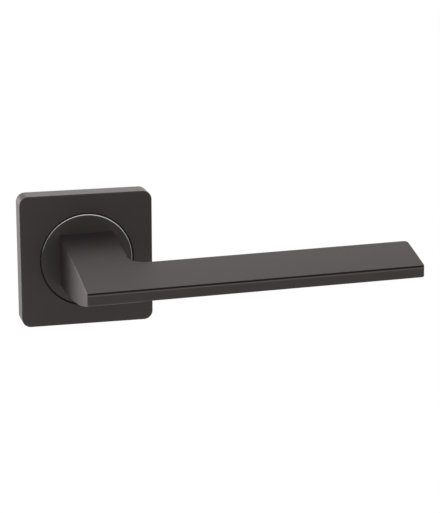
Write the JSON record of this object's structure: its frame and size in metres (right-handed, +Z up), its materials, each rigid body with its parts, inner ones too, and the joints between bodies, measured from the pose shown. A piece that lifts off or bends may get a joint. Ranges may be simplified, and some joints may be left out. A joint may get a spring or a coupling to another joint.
{
  "type": "door lever handle",
  "caption": "Sprung door lever handle: flat wedge-section blade on a square neck, turning collar disc, square rose, spindle and hidden fixings.",
  "frame": {"origin": "on the spindle axis, in the plane of the door's face that the rose stands on", "axes": "+X along the lever from the spindle to its tip, +Y along the spindle into the door, +Z up"},
  "size_m": [0.1456, 0.132, 0.052],
  "materials": {
    "black_paint": "satin black powder coat",
    "zinc_casting": "as cast",
    "plated_steel": "bright zinc plate",
    "spring_steel": "oiled",
    "black_steel": "blackened",
    "nylon": "natural"
  },
  "bodies": {
    "rose": {"rose_cover": "black_paint", "cover_grub_screw": "black_steel", "base_plate": "zinc_casting", "hub_bush": "nylon", "return_spring": "spring_steel", "bolt_post_left": "plated_steel", "bolt_post_right": "plated_steel", "wood_screw_1": "plated_steel", "wood_screw_2": "plated_steel", "wood_screw_3": "plated_steel", "wood_screw_4": "plated_steel"},
    "lever": {"lever": "black_paint", "collar_disc": "black_paint", "spring_cam": "plated_steel", "thrust_washer": "plated_steel", "wave_washer": "spring_steel", "circlip": "black_steel", "spindle": "plated_steel", "lever_grub_screw": "black_steel"}
  },
  "joints": [
    {"name": "lever_turn", "type": "hinge", "parent": "rose", "child": "lever", "pos_m": [0, 0, 0], "axis": [0, 1, 0], "range_deg": [0, 45], "stiffness_Nm_per_rad": 0.6, "springref_deg": -45.84, "deforming": ["return_spring"]}
  ]
}
